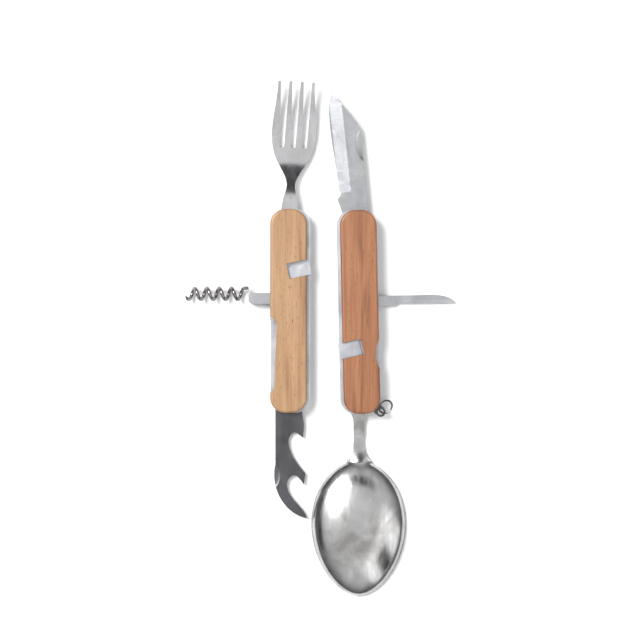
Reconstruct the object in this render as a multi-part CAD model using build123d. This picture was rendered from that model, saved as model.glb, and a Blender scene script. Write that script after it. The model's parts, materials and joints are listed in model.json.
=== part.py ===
from build123d import *
import math
import os

# Picnic cutlery in two halves that lie side by side with every tool open. The fork half carries
# a fork, a bottle and tin opener and a corkscrew; the knife half carries a knife, a spoon, a small
# blade and a key ring. X runs across the halves, Y along the handles, Z up from the table.

# Handles: both halves have the same stack of plates with a wooden scale on top.
HANDLE_LENGTH = 101.0
SCALE_WIDTH = 18.3
END_RADIUS = 7.5
SIDE_STRIP = 1.6          # the liners stand this far out of the wood on the catch side
INNER_PLATE = 0.8
TOOL_LAYER = 2.4
MID_LINER = 0.6
OUTER_LINER = 0.8
SCALE_THICKNESS = 3.6
SCALE_ROUNDING = 1.3
PIVOT_INSET = 7.0         # pivot centre to the handle's end

# Where each half lies.
FORK_HALF = (-16.1, 14.0, 0.0)       # x, y, turn in degrees
KNIFE_HALF = (19.4, 13.5, 1.25)

# Pivots, washers and clearances.
PIN_RADIUS = 1.6
SMALL_PIN_RADIUS = 1.2
RIVET_RADIUS = 0.8
PRESS_CLEARANCE = 0.02
RUNNING_CLEARANCE = 0.05
TANG_RADIUS = 5.7
WASHER_RADIUS = 4.5
SMALL_WASHER_RADIUS = 2.6
TOOL_THICKNESS = 1.6

# Springs, one bar in each tool layer along the catch side.
SPRING_WIDTH = 3.2
SPRING_EDGE = 0.15        # set back from the liners' edge
LONG_SPRING = (-20.0, 34.0)
SHORT_SPRING = (-33.0, 20.0)
RIVET_HEIGHTS = (14.0, -12.0)

# Catches: a slanted notch in each scale with a steel tab in it.
NOTCH_HEIGHT = 7.8
NOTCH_SLANT = 12.0
FORK_NOTCH = (21.6, 9.6)             # height along the handle, depth
KNIFE_NOTCH = (-19.2, 10.2)
CATCH_RISE = 1.6

# Fork.
FORK_LEAN = -3.3
FORK_LENGTH = 70.5
TINE_SPACING = 5.65
TINE_TIP = 1.5
SLOT_ROOT_RADIUS = 1.15
SLOT_START = 38.8

# Corkscrew: a shank on a pin in the left edge and a wire helix beside it.
CORKSCREW_EDGE = 2.55     # pivot centre to the scale's left edge
CORKSCREW_PIVOT = (CORKSCREW_EDGE - SCALE_WIDTH / 2, 6.0)
SHANK_END = 13.3
SHANK_LOW = -2.5
SHANK_HIGH = 3.0
SHANK_GAP = 0.3           # shank to the plates under and over it
SHANK_THICKNESS = 2 * TOOL_LAYER + MID_LINER - 2 * SHANK_GAP
HELIX_OFFSET = 2.5
HELIX_RADIUS = 2.85
HELIX_PITCH = 6.1
HELIX_TURNS = 4.6
WIRE_RADIUS = 0.9
CHANNEL_CLEARANCE = 0.35
HELIX_HEIGHT = INNER_PLATE + CHANNEL_CLEARANCE + HELIX_RADIUS + WIRE_RADIUS

# Spoon.
BOWL_CENTRE = (-1.55, -64.5)
BOWL_HALF_WIDTH = 23.6
BOWL_HALF_LENGTH = 33.9
BOWL_DEPTH = 10.2
BOWL_WALL = 1.3
NECK_RISE = 4.3           # how high the neck climbs on the bowl
NECK_DROP = 1.0

# Small blade.
SMALL_EDGE = 3.15         # pivot centre to the scale's right edge
SMALL_PIVOT = (SCALE_WIDTH / 2 - SMALL_EDGE, 6.0)
SMALL_THICKNESS = 1.2
SMALL_TANG_RADIUS = 3.3

# Knife and small blade grinds.
EDGE_THICKNESS = 0.3

# Key ring, threaded through a lug at the knife half's lower corner.
LUG_HOLE = (SCALE_WIDTH / 2 + 0.05, 0.6 - HANDLE_LENGTH / 2)
LUG_RIVET = (SCALE_WIDTH / 2 - 4.15, 5.0 - HANDLE_LENGTH / 2)
LUG_HOLE_RADIUS = 1.4
LUG_RADIUS = 2.5
LUG_THICKNESS = 0.8
LUG_GAP = 0.2             # lug to the outer liner over it
RING_RADIUS = 3.5
RING_WIRE = 0.45
RING_HEADING = 45.0       # degrees from X to the ring's centre, seen from above
RING_LEAN = 50.0          # from upright, so that the spoon passes under the ring

# Levels worked out from the stack.
LOWER_FLOOR = INNER_PLATE
LOWER_ROOF = LOWER_FLOOR + TOOL_LAYER
UPPER_FLOOR = LOWER_ROOF + MID_LINER
UPPER_ROOF = UPPER_FLOOR + TOOL_LAYER
SCALE_FLOOR = UPPER_ROOF + OUTER_LINER
TOP = SCALE_FLOOR + SCALE_THICKNESS
PIVOT_HEIGHT = HANDLE_LENGTH / 2 - PIVOT_INSET
LOWER_TOOL = LOWER_FLOOR + (TOOL_LAYER - TOOL_THICKNESS) / 2
UPPER_TOOL = UPPER_FLOOR + (TOOL_LAYER - TOOL_THICKNESS) / 2
SMALL_TOOL = LOWER_FLOOR + (TOOL_LAYER - SMALL_THICKNESS) / 2

parts = {}


def place(half):
    """Location of a half's own frame: origin at the scale's centre, Y along the handle."""
    x, y, turn = half
    return Pos(x, y, 0) * Rot(0, 0, turn)


def pivot_point(half, point):
    """A point given in a half's own frame, in the shared frame."""
    x, y, turn = half
    angle = math.radians(turn)
    return (
        x + point[0] * math.cos(angle) - point[1] * math.sin(angle),
        y + point[0] * math.sin(angle) + point[1] * math.cos(angle),
    )


def rod(point, radius, low, high):
    """An upright cylinder."""
    return Pos(point[0], point[1], (low + high) / 2) * Cylinder(radius, high - low)


def slab(x_range, y_range, z_range):
    """A box given by its ranges."""
    size = [b - a for a, b in (x_range, y_range, z_range)]
    middle = [(a + b) / 2 for a, b in (x_range, y_range, z_range)]
    return Pos(*middle) * Box(*size)


def curve_face(*edges):
    """A flat face bounded by edges that follow one another."""
    return make_face(Curve() + list(edges))


def washers(point, pin_radius, radius, floor, thickness):
    """One washer under a tool and one over it, in the tool layer that starts at floor."""
    rings = []
    depth = (TOOL_LAYER - thickness) / 2 - RUNNING_CLEARANCE
    roof = floor + TOOL_LAYER
    for start, end in ((floor, floor + depth), (roof - depth, roof)):
        ring = rod(point, radius, start, end) - rod(point, pin_radius + RUNNING_CLEARANCE, start, end)
        rings.append(ring)
    return rings


def profile_band(points, thickness, half_width):
    """A bent sheet: a side view given as (y, z) points of its underside, drawn out along X."""
    under = [(y, z) for y, z in points]
    over = [(y, z + thickness) for y, z in reversed(points)]
    side = curve_face(
        Spline(*under),
        Line(under[-1], over[0]),
        Spline(*over),
        Line(over[-1], under[0]),
    )
    return extrude(Plane.YZ * side, amount=half_width, both=True)


def grind(start, end, width, depth, low, thickness):
    """Two wedges that thin a blade along its edge; seen from start to end, the blade is on the left."""
    length = math.dist(start, end)
    heading = math.degrees(math.atan2(end[1] - start[1], end[0] - start[0]))
    wedges = []
    for face, sign in ((low + thickness, -1), (low, 1)):
        section = make_face(
            Polyline(
                (-3.0, sign * depth), (0.0, sign * depth), (width, 0.0), (width, -sign), (-3.0, -sign),
                close=True,
            )
        )
        wedge = extrude(Plane.YZ * section, amount=length, dir=(1, 0, 0))
        wedges.append(Pos(start[0], start[1], face) * Rot(0, 0, heading) * wedge)
    return wedges


def liner_outline(side):
    """Outline of the steel plates, wider than the wood on the catch side."""
    width = SCALE_WIDTH + SIDE_STRIP
    return Pos(side * SIDE_STRIP / 2, 0) * RectangleRounded(width, HANDLE_LENGTH, END_RADIUS)


def plate(side, low, thickness, holes, cuts=()):
    """One steel plate of a handle with its pin holes."""
    shape = Pos(0, 0, low) * extrude(liner_outline(side), amount=thickness)
    for point, radius in holes:
        shape -= rod(point, radius + PRESS_CLEARANCE, low - 1, low + thickness + 1)
    for cut in cuts:
        shape -= cut
    return shape


def notch(side, height, depth, low, high):
    """The slanted notch in a scale's edge."""
    middle = Pos(side * SCALE_WIDTH / 2, height, (low + high) / 2)
    return middle * Rot(0, 0, NOTCH_SLANT) * Box(2 * depth, NOTCH_HEIGHT, high - low)


def scale_blank():
    """The wooden scale with its upper rim rounded."""
    blank = extrude(RectangleRounded(SCALE_WIDTH, HANDLE_LENGTH, END_RADIUS), amount=SCALE_THICKNESS)
    rim = blank.faces().sort_by(Axis.Z)[-1].edges()
    return Pos(0, 0, SCALE_FLOOR) * fillet(rim, SCALE_ROUNDING)


def spring(side, floor, span):
    """A spring bar along the catch side with its rivet holes."""
    outer = SCALE_WIDTH / 2 + SIDE_STRIP - SPRING_EDGE
    xs = sorted((side * outer, side * (outer - SPRING_WIDTH)))
    bar = slab(xs, span, (floor + PRESS_CLEARANCE, floor + TOOL_LAYER - PRESS_CLEARANCE))
    for point in rivet_points(side):
        bar -= rod(point, RIVET_RADIUS + PRESS_CLEARANCE, floor, floor + TOOL_LAYER)
    return bar


def rivet_points(side):
    """The two rivets through the springs and plates of a half."""
    x = side * (SCALE_WIDTH / 2 + SIDE_STRIP - SPRING_EDGE - SPRING_WIDTH / 2)
    return [(x, height) for height in RIVET_HEIGHTS]


def keep(half, shapes):
    """File shapes made in a half's own frame under their node names, in the shared frame."""
    for name, shape in shapes.items():
        solids = shape if isinstance(shape, list) else [shape]
        parts[name] = [place(half) * solid for solid in solids]


def build_fork_half():
    """The root half: plates, scale, springs, pins, washers, rivets and catch."""
    side = 1
    top, bottom = (0, PIVOT_HEIGHT), (0, -PIVOT_HEIGHT)
    main = [(top, PIN_RADIUS), (bottom, PIN_RADIUS)] + [(p, RIVET_RADIUS) for p in rivet_points(side)]
    with_corkscrew = main + [(CORKSCREW_PIVOT, SMALL_PIN_RADIUS)]

    reach = SHANK_END + HELIX_PITCH * (HELIX_TURNS + 1)
    helix_x = CORKSCREW_PIVOT[0] - HELIX_OFFSET
    outer_radius = HELIX_RADIUS + WIRE_RADIUS + CHANNEL_CLEARANCE
    channel_top = CORKSCREW_PIVOT[1] - SHANK_END + 2.5
    channel_bottom = CORKSCREW_PIVOT[1] - reach - 1.0
    channel = Pos(helix_x, (channel_top + channel_bottom) / 2, HELIX_HEIGHT) * Rot(90, 0, 0)
    channel = channel * Cylinder(outer_radius, channel_top - channel_bottom)
    left = -SCALE_WIDTH
    shank_right = CORKSCREW_PIVOT[0] + SHANK_HIGH + 0.4
    shank_room = slab((left, shank_right), (channel_bottom, CORKSCREW_PIVOT[1] + 6.0), (0, TOP))
    liner_room = slab((left, helix_x + outer_radius), (channel_bottom, channel_top), (0, TOP))
    edge = -SCALE_WIDTH / 2
    window = extrude(
        curve_face(
            Spline((edge - 1, -2.0), (edge + 2.85, -5.5), (edge + 3.25, -9.0)),
            Line((edge + 3.25, -9.0), (edge + 2.15, -37.0)),
            Spline((edge + 2.15, -37.0), (edge + 1.65, -39.2), (edge - 1, -40.8)),
            Line((edge - 1, -40.8), (edge - 1, -2.0)),
        ),
        amount=TOP + 1,
    )
    height, depth = FORK_NOTCH
    scale = scale_blank() - notch(side, height, depth, SCALE_FLOOR - 1, TOP + 1) - window - channel
    tab = slab((0.3 - depth, SIDE_STRIP), (-NOTCH_HEIGHT / 2 + 0.1, NOTCH_HEIGHT / 2 - 2.2), (0, CATCH_RISE))
    catch = Pos(side * SCALE_WIDTH / 2, height, SCALE_FLOOR) * Rot(0, 0, NOTCH_SLANT) * tab

    keep(FORK_HALF, {
        "fork_side_scale": scale,
        "fork_side_outer_liner": plate(side, UPPER_ROOF, OUTER_LINER, with_corkscrew, [liner_room]),
        "fork_side_mid_liner": plate(side, LOWER_ROOF, MID_LINER, main, [shank_room]),
        "fork_side_inner_plate": plate(side, 0, INNER_PLATE, with_corkscrew),
        "fork_spring": spring(side, UPPER_FLOOR, LONG_SPRING),
        "opener_spring": spring(side, LOWER_FLOOR, SHORT_SPRING),
        "fork_pin": rod(top, PIN_RADIUS, 0, SCALE_FLOOR),
        "opener_pin": rod(bottom, PIN_RADIUS, 0, SCALE_FLOOR),
        "corkscrew_pin": rod(CORKSCREW_PIVOT, SMALL_PIN_RADIUS, 0, SCALE_FLOOR),
        "fork_washers": washers(top, PIN_RADIUS, WASHER_RADIUS, UPPER_FLOOR, TOOL_THICKNESS),
        "opener_washers": washers(bottom, PIN_RADIUS, WASHER_RADIUS, LOWER_FLOOR, TOOL_THICKNESS),
        "fork_side_rivets": [rod(p, RIVET_RADIUS, 0, SCALE_FLOOR) for p in rivet_points(side)],
        "fork_side_catch": catch,
    })


def build_knife_half():
    """The second half: the same stack, with a thumb scallop and a lug for the key ring."""
    side = -1
    top, bottom = (0, PIVOT_HEIGHT), (0, -PIVOT_HEIGHT)
    main = [(top, PIN_RADIUS), (bottom, PIN_RADIUS)] + [(p, RIVET_RADIUS) for p in rivet_points(side)]
    small = [(SMALL_PIVOT, SMALL_PIN_RADIUS)]
    lug_rivet = [(LUG_RIVET, RIVET_RADIUS)]

    scallop_depth, scallop_chord, scallop_height = 1.9, 15.0, -21.0
    scallop_radius = (scallop_chord ** 2 / 4 + scallop_depth ** 2) / (2 * scallop_depth)
    scallop_x = SCALE_WIDTH / 2 - scallop_depth + scallop_radius
    scallop = rod((scallop_x, scallop_height), scallop_radius, SCALE_FLOOR - 1, TOP + 1)
    height, depth = KNIFE_NOTCH
    scale = scale_blank() - notch(side, height, depth, SCALE_FLOOR - 1, TOP + 1) - scallop
    tab = slab((-SIDE_STRIP, depth - 1.2), (-NOTCH_HEIGHT / 2 + 0.1, NOTCH_HEIGHT / 2 - 0.3), (0, CATCH_RISE))
    corner = tab.edges().filter_by(Axis.Z).sort_by(lambda e: -e.center().X - e.center().Y)[0]
    tab = fillet(corner, 1.5)
    catch = Pos(side * SCALE_WIDTH / 2, height, SCALE_FLOOR) * Rot(0, 0, NOTCH_SLANT) * tab

    lug_low = UPPER_ROOF - LUG_GAP - LUG_THICKNESS
    lug_ends = Pos(*LUG_HOLE) * Circle(LUG_RADIUS) + Pos(*LUG_RIVET) * Circle(LUG_RADIUS)
    lug_sketch = make_hull(lug_ends.edges())
    lug = Pos(0, 0, lug_low) * extrude(lug_sketch, amount=LUG_THICKNESS)
    lug -= rod(LUG_HOLE, LUG_HOLE_RADIUS, 0, TOP)
    lug -= rod(LUG_RIVET, RIVET_RADIUS + PRESS_CLEARANCE, 0, TOP)

    keep(KNIFE_HALF, {
        "knife_side_scale": scale,
        "knife_side_outer_liner": plate(side, UPPER_ROOF, OUTER_LINER, main + lug_rivet),
        "knife_side_mid_liner": plate(side, LOWER_ROOF, MID_LINER, main + lug_rivet + small),
        "knife_side_inner_plate": plate(side, 0, INNER_PLATE, main + small),
        "knife_spring": spring(side, UPPER_FLOOR, LONG_SPRING),
        "spoon_spring": spring(side, LOWER_FLOOR, SHORT_SPRING),
        "knife_pin": rod(top, PIN_RADIUS, 0, SCALE_FLOOR),
        "spoon_pin": rod(bottom, PIN_RADIUS, 0, SCALE_FLOOR),
        "small_blade_pin": rod(SMALL_PIVOT, SMALL_PIN_RADIUS, 0, UPPER_FLOOR),
        "knife_washers": washers(top, PIN_RADIUS, WASHER_RADIUS, UPPER_FLOOR, TOOL_THICKNESS),
        "spoon_washers": washers(bottom, PIN_RADIUS, WASHER_RADIUS, LOWER_FLOOR, TOOL_THICKNESS),
        "small_blade_washers": washers(
            SMALL_PIVOT, SMALL_PIN_RADIUS, SMALL_WASHER_RADIUS, LOWER_FLOOR, SMALL_THICKNESS
        ),
        "knife_side_rivets": [rod(p, RIVET_RADIUS, 0, SCALE_FLOOR) for p in rivet_points(side)],
        "knife_side_catch": catch,
        "key_lug": lug,
        "key_lug_rivet": rod(LUG_RIVET, RIVET_RADIUS, LOWER_ROOF, SCALE_FLOOR),
    })
    return lug_low + LUG_THICKNESS / 2


def build_fork():
    """Fork in a frame with its pivot at the origin and the tines up; bent from one sheet."""
    def side_edge(sign):
        return Spline(
            (sign * 3.9, 0), (sign * 4.0, 8), (sign * 3.2, 13), (sign * 2.1, 19.5), (sign * 3.5, 24),
            (sign * 8.4, 32.5), (sign * 10.9, 42.5), (sign * 10.5, 54), (sign * 9.2, FORK_LENGTH),
        )
    outline = curve_face(
        side_edge(1),
        Line((9.2, FORK_LENGTH), (-9.2, FORK_LENGTH)),
        side_edge(-1),
        Line((-3.9, 0), (3.9, 0)),
    )
    blank = extrude(outline, amount=TOP) + rod((0, 0), TANG_RADIUS, 0, TOP)
    slot_tip = (TINE_SPACING - TINE_TIP) / 2
    for index in (-1, 0, 1):
        x = index * TINE_SPACING
        slot = make_face(
            Polyline(
                (x - SLOT_ROOT_RADIUS, SLOT_START), (x + SLOT_ROOT_RADIUS, SLOT_START),
                (x + slot_tip, FORK_LENGTH + 1), (x - slot_tip, FORK_LENGTH + 1), close=True,
            )
        )
        blank -= extrude(slot, amount=TOP)
        blank -= rod((x, SLOT_START), SLOT_ROOT_RADIUS, 0, TOP)
    bend = [
        (12, UPPER_TOOL), (20, 3.1), (30, 1.5), (38, 1.1), (50, 1.9), (62, 4.0), (FORK_LENGTH + 1, 6.2),
    ]
    flat = slab((-15, 15), (-7, 12), (UPPER_TOOL, UPPER_TOOL + TOOL_THICKNESS))
    band = profile_band(bend, TOOL_THICKNESS, 15) + flat
    shape = blank & band
    shape -= rod((0, 0), PIN_RADIUS + RUNNING_CLEARANCE, 0, TOP)
    x, y = pivot_point(FORK_HALF, (0, PIVOT_HEIGHT))
    parts["fork"] = [Pos(x, y, 0) * Rot(0, 0, FORK_LEAN) * shape]


def build_opener():
    """Opener in a frame with its pivot at the origin: a cap lifter, then a tin opener's beak."""
    outline = curve_face(
        Line((5.7, 0), (7.6, -13.5)),
        Line((7.6, -13.5), (7.15, -19.8)),
        Spline(
            (7.15, -19.8), (5.4, -18.3), (3.05, -17), (0.45, -19.2), (0.25, -24.3), (2.85, -30.4),
            (8.3, -37.5),
        ),
        Line((8.3, -37.5), (7.55, -43.3)),
        Spline(
            (7.55, -43.3), (5.85, -40.7), (2.85, -38.4), (-0.6, -41.5), (-0.4, -45.9), (2.85, -51),
            (9.1, -59.8),
        ),
        Spline((9.1, -59.8), (4.6, -58.4), (-0.2, -55), (-5.1, -48), (-6.65, -33)),
        Line((-6.65, -33), (-6.65, -5)),
        Line((-6.65, -5), (-5.7, 0)),
        Line((-5.7, 0), (5.7, 0)),
    )
    shape = extrude(outline, amount=TOOL_THICKNESS) + rod((0, 0), TANG_RADIUS, 0, TOOL_THICKNESS)
    nick = Pos(-11.2, -38, TOOL_THICKNESS) * scale(Sphere(1), by=(7.2, 8.5, 0.6))
    shape -= nick
    shape -= rod((0, 0), PIN_RADIUS + RUNNING_CLEARANCE, -1, TOOL_THICKNESS + 1)
    x, y = pivot_point(FORK_HALF, (0, -PIVOT_HEIGHT))
    parts["opener"] = [Pos(x, y, LOWER_TOOL) * shape]


def build_corkscrew():
    """Corkscrew pointing left from its pivot: a shank block and a wire wound beside it."""
    low = LOWER_FLOOR + SHANK_GAP
    x, y = pivot_point(FORK_HALF, CORKSCREW_PIVOT)
    centre = (SHANK_LOW + SHANK_HIGH) / 2
    body = slab((-SHANK_END, 0), (SHANK_LOW, SHANK_HIGH), (0, SHANK_THICKNESS))
    body = chamfer(body.edges().filter_by(Axis.Z).sort_by(Axis.X)[:2], 1.2)
    shank = body + rod((0, centre), (SHANK_HIGH - SHANK_LOW) / 2, 0, SHANK_THICKNESS)
    shank -= rod((0, 0), SMALL_PIN_RADIUS + RUNNING_CLEARANCE, -1, SHANK_THICKNESS + 1)
    parts["corkscrew_shank"] = [Pos(x, y, low) * shank]

    stub = 2.4
    length = HELIX_PITCH * HELIX_TURNS
    helix = Helix(pitch=HELIX_PITCH, height=length, radius=HELIX_RADIUS)
    start = Plane(origin=helix @ 0, z_dir=helix % 0)
    coil = sweep(start * Circle(WIRE_RADIUS), path=helix, is_frenet=True)
    lead = Pos(HELIX_RADIUS, 0, -stub / 2) * Cylinder(WIRE_RADIUS, stub)
    knee = Pos(HELIX_RADIUS, 0, 0) * Sphere(WIRE_RADIUS)
    wire = coil + lead + knee
    end = helix @ 1
    tip_plane = Plane(origin=end, z_dir=helix % 1)
    wire += tip_plane * Pos(0, 0, 1.2) * Cone(WIRE_RADIUS, 0.15, 2.4)
    turned = Rot(0, -90, 0) * wire
    turned = Rot(-90, 0, 0) * turned
    parts["corkscrew_wire"] = [Pos(x - SHANK_END - stub, y + HELIX_OFFSET, HELIX_HEIGHT) * turned]


def build_knife():
    """Knife in a frame with its pivot at the origin, leaning left as it lies open."""
    outline = curve_face(
        Spline((-12.95, 66.5), (-14.1, 62), (-14.35, 53.5), (-13.6, 45), (-12.25, 36), (-9.35, 16.9)),
        Line((-9.35, 16.9), (-8.3, 15.1)),
        Line((-8.3, 15.1), (-10.2, 12.4)),
        Line((-10.2, 12.4), (-5.7, 0)),
        Line((-5.7, 0), (5.4, 0)),
        Line((5.4, 0), (3.8, 18.6)),
        Spline((3.8, 18.6), (2.7, 31.1), (1.8, 41.5), (0.7, 48.1), (-1.1, 51.3), (-5.6, 57), (-12.95, 66.5)),
    )
    shape = extrude(outline, amount=TOOL_THICKNESS) + rod((0, 0), TANG_RADIUS, 0, TOOL_THICKNESS)
    depth = (TOOL_THICKNESS - EDGE_THICKNESS) / 2
    for wedge in grind((-15.1, 68.0), (-9.5, 15.6), 6.0, depth, 0, TOOL_THICKNESS):
        shape -= wedge
    nick = Pos(3.2, 39.5, TOOL_THICKNESS) * Rot(0, 0, 5) * scale(Sphere(1), by=(4.4, 8.4, 0.6))
    shape -= nick
    shape -= rod((0, 0), PIN_RADIUS + RUNNING_CLEARANCE, -1, TOOL_THICKNESS + 1)
    x, y = pivot_point(KNIFE_HALF, (0, PIVOT_HEIGHT))
    parts["knife"] = [Pos(x, y, UPPER_TOOL) * shape]


def build_small_blade():
    """Small blade pointing right from its pivot."""
    outline = curve_face(
        Spline((3.0, 1.5), (12, 2.1), (21.7, 2.25), (34.2, 2.2), (38.6, 1.0), (42.1, -1.6)),
        Line((42.1, -1.6), (12.7, -1.9)),
        Line((12.7, -1.9), (11.0, -3.1)),
        Line((11.0, -3.1), (0, -3.2)),
        Line((0, -3.2), (3.0, 1.5)),
    )
    shape = extrude(outline, amount=SMALL_THICKNESS) + rod((0, 0), SMALL_TANG_RADIUS, 0, SMALL_THICKNESS)
    depth = (SMALL_THICKNESS - EDGE_THICKNESS) / 2
    for wedge in grind((13.2, -1.95), (44.0, -1.65), 1.8, depth, 0, SMALL_THICKNESS):
        shape -= wedge
    shape -= rod((0, 0), SMALL_PIN_RADIUS + RUNNING_CLEARANCE, -1, SMALL_THICKNESS + 1)
    x, y = pivot_point(KNIFE_HALF, SMALL_PIVOT)
    parts["small_blade"] = [Pos(x, y, SMALL_TOOL) * shape]


def build_spoon():
    """Spoon in a frame with its pivot at the origin, hollow side down, rim on the table."""
    neck = curve_face(
        Line((-5.7, 0), (-5.6, -6)),
        Spline((-5.6, -6), (-4.3, -9.8), (-4.0, -19), (-4.9, -28), (-9.5, -35)),
        Line((-9.5, -35), (6.6, -35)),
        Spline((6.6, -35), (2.65, -28.5), (1.15, -21), (1.4, -12), (2.9, -6.5), (5.7, 0)),
        Line((5.7, 0), (-5.7, 0)),
    )
    blank = extrude(neck, amount=TOP) + rod((0, 0), TANG_RADIUS, 0, TOP)
    low = LOWER_TOOL - NECK_DROP
    flat = slab((-15, 15), (-16, 7), (LOWER_TOOL, LOWER_TOOL + TOOL_THICKNESS))
    foot = extrude(
        Plane.YZ * make_face(
            Polyline(
                (-22, low), (-27, low), (-37, NECK_RISE), (-37, NECK_RISE + TOOL_THICKNESS),
                (-27.5, low + TOOL_THICKNESS), (-22, low + TOOL_THICKNESS), close=True,
            )
        ),
        amount=15, both=True,
    )
    joggle = extrude(
        Plane.YZ * make_face(
            Polyline(
                (-16, LOWER_TOOL), (-22, low), (-22, low + TOOL_THICKNESS),
                (-16, LOWER_TOOL + TOOL_THICKNESS), close=True,
            )
        ),
        amount=15, both=True,
    )
    neck_sheet = blank & (flat + joggle + foot)
    centre = Pos(BOWL_CENTRE[0], BOWL_CENTRE[1], 0)
    outer = centre * scale(Sphere(1), by=(BOWL_HALF_WIDTH, BOWL_HALF_LENGTH, BOWL_DEPTH))
    inner = centre * scale(
        Sphere(1), by=(BOWL_HALF_WIDTH - BOWL_WALL, BOWL_HALF_LENGTH - BOWL_WALL, BOWL_DEPTH - BOWL_WALL)
    )
    above = slab((-40, 40), (-110, 10), (0, TOP))
    shape = ((outer & above) + neck_sheet) - inner
    shape -= rod((0, 0), PIN_RADIUS + RUNNING_CLEARANCE, 0, TOP)
    x, y = pivot_point(KNIFE_HALF, (0, -PIVOT_HEIGHT))
    parts["spoon"] = [Pos(x, y, 0) * shape]


def build_key_ring(lug_height):
    """A wire ring that leans in the lug's hole, clear of the handle."""
    x, y = pivot_point(KNIFE_HALF, LUG_HOLE)
    ring = Rot(90, 0, 0) * Torus(RING_RADIUS, RING_WIRE)
    ring = Rot(0, 0, RING_HEADING) * Pos(RING_RADIUS, 0, 0) * Rot(RING_LEAN, 0, 0) * ring
    parts["key_ring"] = [Pos(x, y, lug_height) * ring]


build_fork_half()
lug_level = build_knife_half()
build_fork()
build_opener()
build_corkscrew()
build_knife()
build_small_blade()
build_spoon()
build_key_ring(lug_level)

os.makedirs("parts", exist_ok=True)
for node, solids in parts.items():
    shape = solids[0] if len(solids) == 1 else Compound(children=list(solids))
    export_step(shape, "parts/" + node + ".step")
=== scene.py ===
import json
import bpy
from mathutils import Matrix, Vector


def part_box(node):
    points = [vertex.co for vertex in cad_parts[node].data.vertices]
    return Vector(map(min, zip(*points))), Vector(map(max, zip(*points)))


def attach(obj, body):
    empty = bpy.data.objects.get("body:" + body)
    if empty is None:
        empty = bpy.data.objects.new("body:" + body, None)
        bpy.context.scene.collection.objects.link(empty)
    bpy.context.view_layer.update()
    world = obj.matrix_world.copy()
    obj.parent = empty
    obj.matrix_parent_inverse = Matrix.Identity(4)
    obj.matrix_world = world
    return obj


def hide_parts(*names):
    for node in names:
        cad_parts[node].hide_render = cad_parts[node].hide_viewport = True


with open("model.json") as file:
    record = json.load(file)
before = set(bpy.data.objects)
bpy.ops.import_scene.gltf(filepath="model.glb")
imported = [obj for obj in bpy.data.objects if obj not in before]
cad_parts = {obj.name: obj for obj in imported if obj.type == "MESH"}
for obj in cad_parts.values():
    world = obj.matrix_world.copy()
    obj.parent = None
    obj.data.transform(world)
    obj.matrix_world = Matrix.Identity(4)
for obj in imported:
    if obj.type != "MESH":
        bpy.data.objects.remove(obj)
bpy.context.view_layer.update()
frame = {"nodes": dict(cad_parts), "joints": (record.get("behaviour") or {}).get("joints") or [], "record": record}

MM = 0.001
TABLE_WIDTH = 320 * MM           # width of the table that the camera sees
TABLE_SIZE = 6.0
TABLE_GAP = 0.02 * MM            # the table lies this far under the part
VIEW_CENTRE = (-0.5 * MM, 9.5 * MM)
CAMERA_HEIGHT = 1.0
SENSOR_WIDTH = 36.0
SKY_STRENGTH = 0.85
MATT = 0.9                       # roughness of the table and the cards

EDGE_ROUNDING = 0.12 * MM
SHARP_EDGE = 0.9                 # radians between two faces from which their edge is rounded
WIRES = ("corkscrew_wire", "key_ring")
CURVED_NODES = ("spoon", "fork", *WIRES)

# Noise cycles per metre along X, Y and Z; the handles lie along Y.
BROAD_GRAIN = (260, 16, 260)
FINE_GRAIN = (1500, 45, 1500)
PORES = (2600, 300, 2600)
HANDLING_MARKS = (70, 55, 70)
SCRATCHES = (1900, 120, 1900)
NOISE_LOW, NOISE_HIGH = 0.3, 0.7  # most of a noise's values lie between these
GRAIN_DEPTH = 0.05 * MM
BRUSHING_DEPTH = 0.02 * MM
SCALE_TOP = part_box("fork_side_scale")[1].z
SHADED_RIM_START, SHADED_RIM_END = SCALE_TOP - 1.3 * MM, SCALE_TOP - 0.1 * MM  # heights where the painted shade on the rounded rim fades out

SHEET = 1.2 * MM                 # thickness of the spoon's steel
TANG_TOP = 2.6 * MM              # top of the spoon's tang above its rim
JOGGLE_START, JOGGLE_LENGTH = 15 * MM, 6 * MM  # below the pivot, where the neck steps down
JOGGLE_DROP = 0.9 * MM
CLIMB_START, CLIMB_LENGTH = 24 * MM, 14 * MM   # below the pivot, where the neck climbs to the bowl
CLIMB_RISE, CLIMB_POWER = 4.6 * MM, 1.4
BOWL_HALF_LENGTH = 33.9 * MM
LEAST_HALF_WIDTH = 0.01 * MM     # keeps the bowl's tip from dividing by zero
BOWL_TAPER = 1.12                # above 1 draws the bowl's ends in from an ellipse
BOWL_LEAN = 0.075                # moves the bowl's widest part towards the neck
DOME_POWER = 0.56                # near 0.5 the back is round, and a higher power makes it pointed
TONGUE_HALF_WIDTH, TONGUE_LENGTH = 6.5 * MM, 9 * MM  # the ridge that the neck leaves on the bowl
TONGUE_OFFSET = 0.3 * MM
TONGUE_SMOOTHING = 1.2 * MM
SHOULDER_LENGTH = 7 * MM         # the neck's edges come down to the rim over this length
SHOULDER_OVERLAP = 6 * MM        # the neck's width still counts this far into the bowl
SHEET_ROWS, SHEET_COLUMNS = 150, 41
# Distance below the pivot, then the left and right edges of the spoon there, in mm.
NECK_EDGES = (
    (0, -5.7, 5.7), (6, -5.6, 2.9), (9.8, -4.3, 1.9), (12, -4.1, 1.4), (21, -4.0, 1.2),
    (25.5, -4.5, 1.7), (28, -5.3, 2.6), (30, -6.3, 3.9),
)
SHOULDER_EDGES = (-7.4, 5.2)     # the same edges where the bowl starts


def node_tree(name):
    """A new material, its node tree and its shader."""
    material = bpy.data.materials.new(name)
    material.use_nodes = True
    tree = material.node_tree
    return material, tree, tree.nodes["Principled BSDF"]


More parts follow.
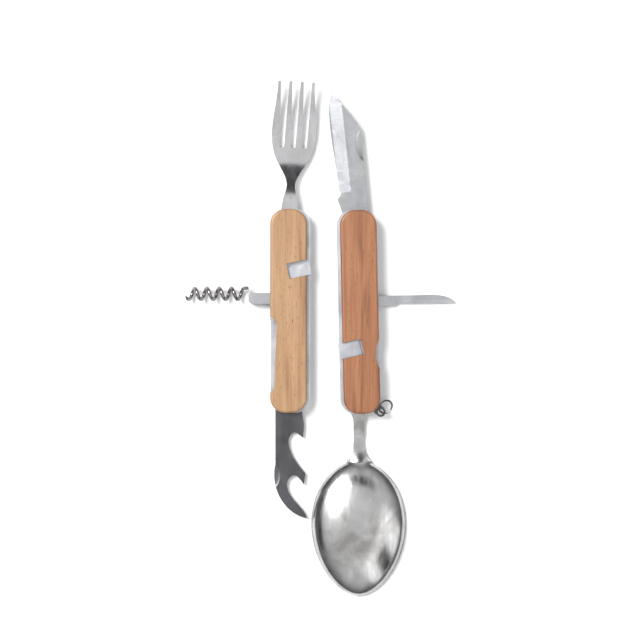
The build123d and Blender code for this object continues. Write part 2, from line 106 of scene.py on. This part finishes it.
def coordinates(tree, stretch):
    """Object coordinates, in metres, multiplied by stretch along X, Y and Z."""
    source = tree.nodes.new("ShaderNodeTexCoord")
    mapping = tree.nodes.new("ShaderNodeMapping")
    mapping.inputs["Scale"].default_value = stretch
    tree.links.new(source.outputs["Object"], mapping.inputs["Vector"])
    return mapping.outputs["Vector"]


def noise(tree, stretch, detail=4.0, roughness=0.55, distortion=0.0):
    """Noise on stretched object coordinates."""
    texture = tree.nodes.new("ShaderNodeTexNoise")
    texture.inputs["Scale"].default_value = 1.0
    texture.inputs["Detail"].default_value = detail
    texture.inputs["Roughness"].default_value = roughness
    texture.inputs["Distortion"].default_value = distortion
    tree.links.new(coordinates(tree, stretch), texture.inputs["Vector"])
    return texture.outputs["Fac"]


def ramp(tree, value, stops):
    """A colour ramp with (position, colour) stops."""
    node = tree.nodes.new("ShaderNodeValToRGB")
    elements = node.color_ramp.elements
    while len(elements) < len(stops):
        elements.new(0.5)
    for element, (position, colour) in zip(elements, stops):
        element.position = position
        element.color = (*colour, 1.0)
    tree.links.new(value, node.inputs["Fac"])
    return node.outputs["Color"]


def remap(tree, value, low, high, new_low, new_high):
    """A value moved from one range to another and held inside it."""
    node = tree.nodes.new("ShaderNodeMapRange")
    node.inputs["From Min"].default_value = low
    node.inputs["From Max"].default_value = high
    node.inputs["To Min"].default_value = new_low
    node.inputs["To Max"].default_value = new_high
    tree.links.new(value, node.inputs["Value"])
    return node.outputs["Result"]


def mix(tree, factor, under, over, mode="MIX"):
    """Two colours mixed by a factor, which is a number or another node's output."""
    node = tree.nodes.new("ShaderNodeMix")
    node.data_type = "RGBA"
    node.blend_type = mode
    if isinstance(factor, float):
        node.inputs[0].default_value = factor
    else:
        tree.links.new(factor, node.inputs[0])
    for socket, colour in ((node.inputs[6], under), (node.inputs[7], over)):
        if isinstance(colour, tuple):
            socket.default_value = (*colour, 1.0)
        else:
            tree.links.new(colour, socket)
    return node.outputs[2]


def bump(tree, shader, height, depth, strength):
    """A fine relief on the shader."""
    node = tree.nodes.new("ShaderNodeBump")
    node.inputs["Strength"].default_value = strength
    node.inputs["Distance"].default_value = depth
    tree.links.new(height, node.inputs["Height"])
    tree.links.new(node.outputs["Normal"], shader.inputs["Normal"])


def height_above_table(tree):
    """The Z object coordinate, in metres, which is the height at rest."""
    source = tree.nodes.new("ShaderNodeTexCoord")
    split = tree.nodes.new("ShaderNodeSeparateXYZ")
    tree.links.new(source.outputs["Object"], split.inputs["Vector"])
    return split.outputs["Z"]


def make_wood(name, pale, middle, dark, pore, streaks):
    """Varnished wood with grain along the handle, short dark pores and painted shade on its rounded rim."""
    material, tree, shader = node_tree(name)
    broad = noise(tree, BROAD_GRAIN, detail=3.0, distortion=0.6)
    base = ramp(tree, broad, [(0.30, dark), (0.48, middle), (0.68, pale)])
    fine = noise(tree, FINE_GRAIN, detail=5.0)
    fibre = ramp(tree, fine, [(0.35, (0.72, 0.68, 0.62)), (0.65, (1.0, 1.0, 1.0))])
    colour = mix(tree, streaks, base, fibre, "MULTIPLY")
    pores = remap(tree, noise(tree, PORES, detail=2.0), 0.64, 0.72, 0.0, 0.8)
    colour = mix(tree, pores, colour, pore)
    # Painted shade: the rounded rim is darkened towards its lower edge, where it turns away from the light.
    rim = remap(tree, height_above_table(tree), SHADED_RIM_START, SHADED_RIM_END, 0.62, 0.0)
    colour = mix(tree, rim, colour, dark)
    tree.links.new(colour, shader.inputs["Base Color"])
    gloss = remap(tree, fine, NOISE_LOW, NOISE_HIGH, 0.34, 0.52)
    tree.links.new(gloss, shader.inputs["Roughness"])
    shader.inputs["Coat Weight"].default_value = 0.25
    shader.inputs["Coat Roughness"].default_value = 0.25
    bump(tree, shader, fine, GRAIN_DEPTH, 0.35)
    return material


def make_steel(name, colour, wear, rough, brushed, relief=0.2):
    """Steel with brushing along one axis, cloudy handling marks and a few fine scratches painted brighter as
    glints.
    """
    material, tree, shader = node_tree(name)
    shader.inputs["Metallic"].default_value = 1.0
    brushing = noise(tree, brushed, detail=4.0, roughness=0.6)
    clouds = noise(tree, HANDLING_MARKS, detail=4.0, distortion=0.8)
    lines = noise(tree, SCRATCHES, detail=2.0, distortion=0.4)
    scratch_glints = remap(tree, lines, 0.70, 0.76, 0.0, 0.3)
    shade = mix(tree, remap(tree, clouds, 0.38, 0.66, 0.0, 0.75), colour, wear)
    shade = mix(tree, remap(tree, brushing, NOISE_LOW, NOISE_HIGH, 0.0, 0.18), shade, wear)
    # Painted highlight: the fine scratches are lightened so that they look like glints.
    glint = tuple(min(0.9, 1.5 * channel) for channel in colour)
    shade = mix(tree, scratch_glints, shade, glint)
    tree.links.new(shade, shader.inputs["Base Color"])
    gloss = remap(tree, brushing, NOISE_LOW, NOISE_HIGH, *rough)
    tree.links.new(gloss, shader.inputs["Roughness"])
    bump(tree, shader, brushing, BRUSHING_DEPTH, relief)
    return material


MATERIALS = {
    "pale_wood": make_wood(
        "beech",
        pale=(0.435, 0.262, 0.135), middle=(0.385, 0.220, 0.105), dark=(0.290, 0.145, 0.060),
        pore=(0.12, 0.05, 0.02), streaks=0.5,
    ),
    "red_wood": make_wood(
        "cherry",
        pale=(0.370, 0.158, 0.068), middle=(0.310, 0.120, 0.047), dark=(0.190, 0.058, 0.020),
        pore=(0.08, 0.02, 0.01), streaks=0.7,
    ),
    "plate_steel": make_steel(
        "plate", colour=(0.60, 0.61, 0.65), wear=(0.36, 0.37, 0.40),
        rough=(0.28, 0.42), brushed=(900, 60, 900),
    ),
    "blade_steel": make_steel(
        "blade", colour=(0.56, 0.57, 0.59), wear=(0.38, 0.39, 0.41),
        rough=(0.18, 0.28), brushed=(160, 1800, 160), relief=0.08,
    ),
    "polished_steel": make_steel(
        "fork", colour=(0.70, 0.70, 0.72), wear=(0.52, 0.51, 0.51),
        rough=(0.09, 0.16), brushed=(500, 90, 500), relief=0.04,
    ),
    "bowl_steel": make_steel(
        "bowl", colour=(0.60, 0.60, 0.60), wear=(0.27, 0.26, 0.25),
        rough=(0.15, 0.25), brushed=(500, 90, 500), relief=0.05,
    ),
    "dark_steel": make_steel(
        "dark", colour=(0.125, 0.125, 0.135), wear=(0.075, 0.073, 0.076),
        rough=(0.26, 0.38), brushed=(900, 120, 900),
    ),
    "wire_steel": make_steel(
        "wire", colour=(0.34, 0.33, 0.33), wear=(0.16, 0.15, 0.15),
        rough=(0.16, 0.30), brushed=(900, 900, 900), relief=0.1,
    ),
    "brass": make_steel(
        "brass", colour=(0.55, 0.42, 0.20), wear=(0.36, 0.27, 0.12),
        rough=(0.25, 0.40), brushed=(800, 800, 800),
    ),
}


def finish_nodes():
    """Every CAD node gets its material, and the flat ones a small edge rounding that catches the light."""
    slots = {entry["node"]: entry["material_slot"] for entry in frame["record"]["subparts"]}
    for name, node in frame["nodes"].items():
        material = MATERIALS["wire_steel" if name in WIRES else slots[name]]
        if not node.material_slots:
            node.data.materials.append(material)
        for place in node.material_slots:
            place.link = "OBJECT"
            place.material = material
        if name not in CURVED_NODES:
            rounding = node.modifiers.new("rounding", "BEVEL")
            rounding.width = EDGE_ROUNDING
            rounding.segments = 2
            rounding.limit_method = "ANGLE"
            rounding.angle_limit = SHARP_EDGE
            rounding.harden_normals = True


def blend_up(a, b, reach):
    """The higher of two heights, with the corner between them smoothed over reach."""
    share = max(0.0, min(1.0, 0.5 + 0.5 * (a - b) / reach))
    return b + (a - b) * share + reach * share * (1 - share)


def spoon_sides(down, bowl_start):
    """Left and right edges of the spoon at a distance below its pivot, before the bowl, all in mm."""
    rows = (*NECK_EDGES, (bowl_start, *SHOULDER_EDGES))
    for (start, left0, right0), (end, left1, right1) in zip(rows, rows[1:]):
        if down <= end:
            share = (down - start) / (end - start)
            return left0 + share * (left1 - left0), right0 + share * (right1 - right0)
    return SHOULDER_EDGES


def spoon_vertices():
    """Points of the spoon's top surface, row by row from its pivot to the tip of its bowl."""
    low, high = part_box("spoon")
    half_width = (high.x - low.x) / 2
    centre_x = (high.x + low.x) / 2
    pivot = next(joint for joint in frame["joints"] if joint["name"] == "spoon_fold")["pos_m"]
    centre_y = low.y + BOWL_HALF_LENGTH
    bowl_top = centre_y + BOWL_HALF_LENGTH
    rim = low.z + SHEET

    def bowl_half(y):
        along = max(-1.0, min(1.0, (y - centre_y) / BOWL_HALF_LENGTH))
        across = (1 - along * along) ** 0.5
        return half_width * across ** BOWL_TAPER * (1 + BOWL_LEAN * along)

    def dome(x, y):
        along = (y - centre_y) / BOWL_HALF_LENGTH
        half = max(bowl_half(y), LEAST_HALF_WIDTH)
        inside = (1 - min(1.0, ((x - centre_x) / half) ** 2)) * max(0.0, 1 - along * along)
        return rim + (high.z - rim) * inside ** DOME_POWER

    def neck(y):
        down = pivot[1] - y
        drop = max(0.0, min(1.0, (down - JOGGLE_START) / JOGGLE_LENGTH))
        drop = drop * drop * (3 - 2 * drop)
        climb = max(0.0, (down - CLIMB_START) / CLIMB_LENGTH) ** CLIMB_POWER
        return low.z + TANG_TOP - JOGGLE_DROP * drop + CLIMB_RISE * climb

    def surface(x, y):
        level = neck(y)
        tongue = max(0.0, 1 - ((x - centre_x - TONGUE_OFFSET) / TONGUE_HALF_WIDTH) ** 2)
        if y >= bowl_top:
            shoulder = max(0.0, 1 - (y - bowl_top) / SHOULDER_LENGTH)
            return level - max(0.0, level - rim) * (1 - tongue) * shoulder
        ending = 1 - (bowl_top - y) / TONGUE_LENGTH
        if ending <= 0:
            return dome(x, y)
        return blend_up(dome(x, y), rim + (level - rim) * tongue * ending, TONGUE_SMOOTHING)

    vertices = []
    for row in range(SHEET_ROWS + 1):
        y = pivot[1] - (pivot[1] - low.y) * row / SHEET_ROWS
        half = bowl_half(y) if y < bowl_top else 0.0
        left, right = centre_x - half, centre_x + half
        if bowl_top - y < SHOULDER_OVERLAP:
            sides = spoon_sides((pivot[1] - y) / MM, (pivot[1] - bowl_top) / MM)
            left = min(left, pivot[0] + sides[0] * MM)
            right = max(right, pivot[0] + sides[1] * MM)
        for column in range(SHEET_COLUMNS):
            x = left + (right - left) * column / (SHEET_COLUMNS - 1)
            vertices.append((x, y, min(surface(x, y), high.z)))
    return vertices


def make_spoon():
    """The spoon as one pressed sheet: a flat tang, a joggled neck and a bowl with its back up."""
    faces = []
    for row in range(SHEET_ROWS):
        for column in range(SHEET_COLUMNS - 1):
            first = row * SHEET_COLUMNS + column
            faces.append((first, first + SHEET_COLUMNS, first + SHEET_COLUMNS + 1, first + 1))
    mesh = bpy.data.meshes.new("spoon_sheet")
    mesh.from_pydata(spoon_vertices(), [], faces)
    mesh.polygons.foreach_set("use_smooth", [True] * len(mesh.polygons))
    mesh.materials.append(MATERIALS["bowl_steel"])
    spoon = bpy.data.objects.new("spoon_sheet", mesh)
    bpy.context.collection.objects.link(spoon)
    thickness = spoon.modifiers.new("thickness", "SOLIDIFY")
    thickness.thickness = SHEET
    thickness.offset = -1.0
    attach(spoon, "spoon")
    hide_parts("spoon")


def matt_plane(name, size, place, colour, gloss):
    """A square of matt stage material, which isn't part of the object."""
    material, _, shader = node_tree(name)
    shader.inputs["Base Color"].default_value = (*colour, 1.0)
    shader.inputs["Roughness"].default_value = MATT
    shader.inputs["Specular IOR Level"].default_value = gloss
    bpy.ops.mesh.primitive_plane_add(size=size, location=place)
    plane = bpy.context.object
    plane.name = name
    plane.data.materials.append(material)
    return plane


def aim(place):
    """The turn that points something at a place towards the middle of the table."""
    return (-Vector(place)).to_track_quat("-Z", "Y").to_euler()


def make_light(name, place, size, power):
    """A soft square light aimed at the middle of the table."""
    data = bpy.data.lights.new(name, "AREA")
    data.size = size
    data.energy = power
    light = bpy.data.objects.new(name, data)
    bpy.context.collection.objects.link(light)
    light.location = place
    light.rotation_euler = aim(place)


def make_card(name, place, size):
    """A dark card beyond the camera's view that bent steel mirrors."""
    card = matt_plane(name, 1.0, place, colour=(0.02, 0.02, 0.022), gloss=0.5)
    card.scale = (*size, 1.0)
    card.rotation_euler = aim(place)


def make_world():
    """A soft sky that is bright overhead and dim near the horizon, so that steel shows its shape."""
    world = bpy.data.worlds.new("sky")
    world.use_nodes = True
    bpy.context.scene.world = world
    tree = world.node_tree
    source = tree.nodes.new("ShaderNodeTexCoord")
    split = tree.nodes.new("ShaderNodeSeparateXYZ")
    tree.links.new(source.outputs["Generated"], split.inputs["Vector"])
    shades = [(0.05, (0.05, 0.05, 0.06)), (0.45, (0.42, 0.42, 0.44)), (0.75, (1, 1, 1))]
    sky = ramp(tree, split.outputs["Z"], shades)
    background = tree.nodes["Background"]
    tree.links.new(sky, background.inputs["Color"])
    background.inputs["Strength"].default_value = SKY_STRENGTH


def make_camera():
    """Straight above the table, with the fork at the top of the frame."""
    data = bpy.data.cameras.new("overhead")
    data.sensor_width = SENSOR_WIDTH
    data.lens = data.sensor_width * CAMERA_HEIGHT / TABLE_WIDTH
    camera = bpy.data.objects.new("overhead", data)
    bpy.context.collection.objects.link(camera)
    camera.location = (*VIEW_CENTRE, CAMERA_HEIGHT)
    bpy.context.scene.camera = camera


finish_nodes()
make_spoon()
matt_plane("table_top", TABLE_SIZE, (0, 0, -TABLE_GAP), colour=(0.93, 0.93, 0.93), gloss=0.1)
make_world()
make_light("key", place=(-1.1, 0.75, 1.9), size=1.0, power=62.0)
make_light("fill", place=(1.5, -1.0, 1.6), size=2.2, power=16.0)
make_card("north_card", place=(0.1, 0.62, 1.25), size=(0.9, 0.30))
make_card("south_east_card", place=(0.9, -0.75, 0.85), size=(0.35, 0.9))
make_card("west_card", place=(-1.3, -0.1, 0.7), size=(1.2, 0.45))
make_camera()
bpy.context.scene.view_settings.view_transform = "Standard"
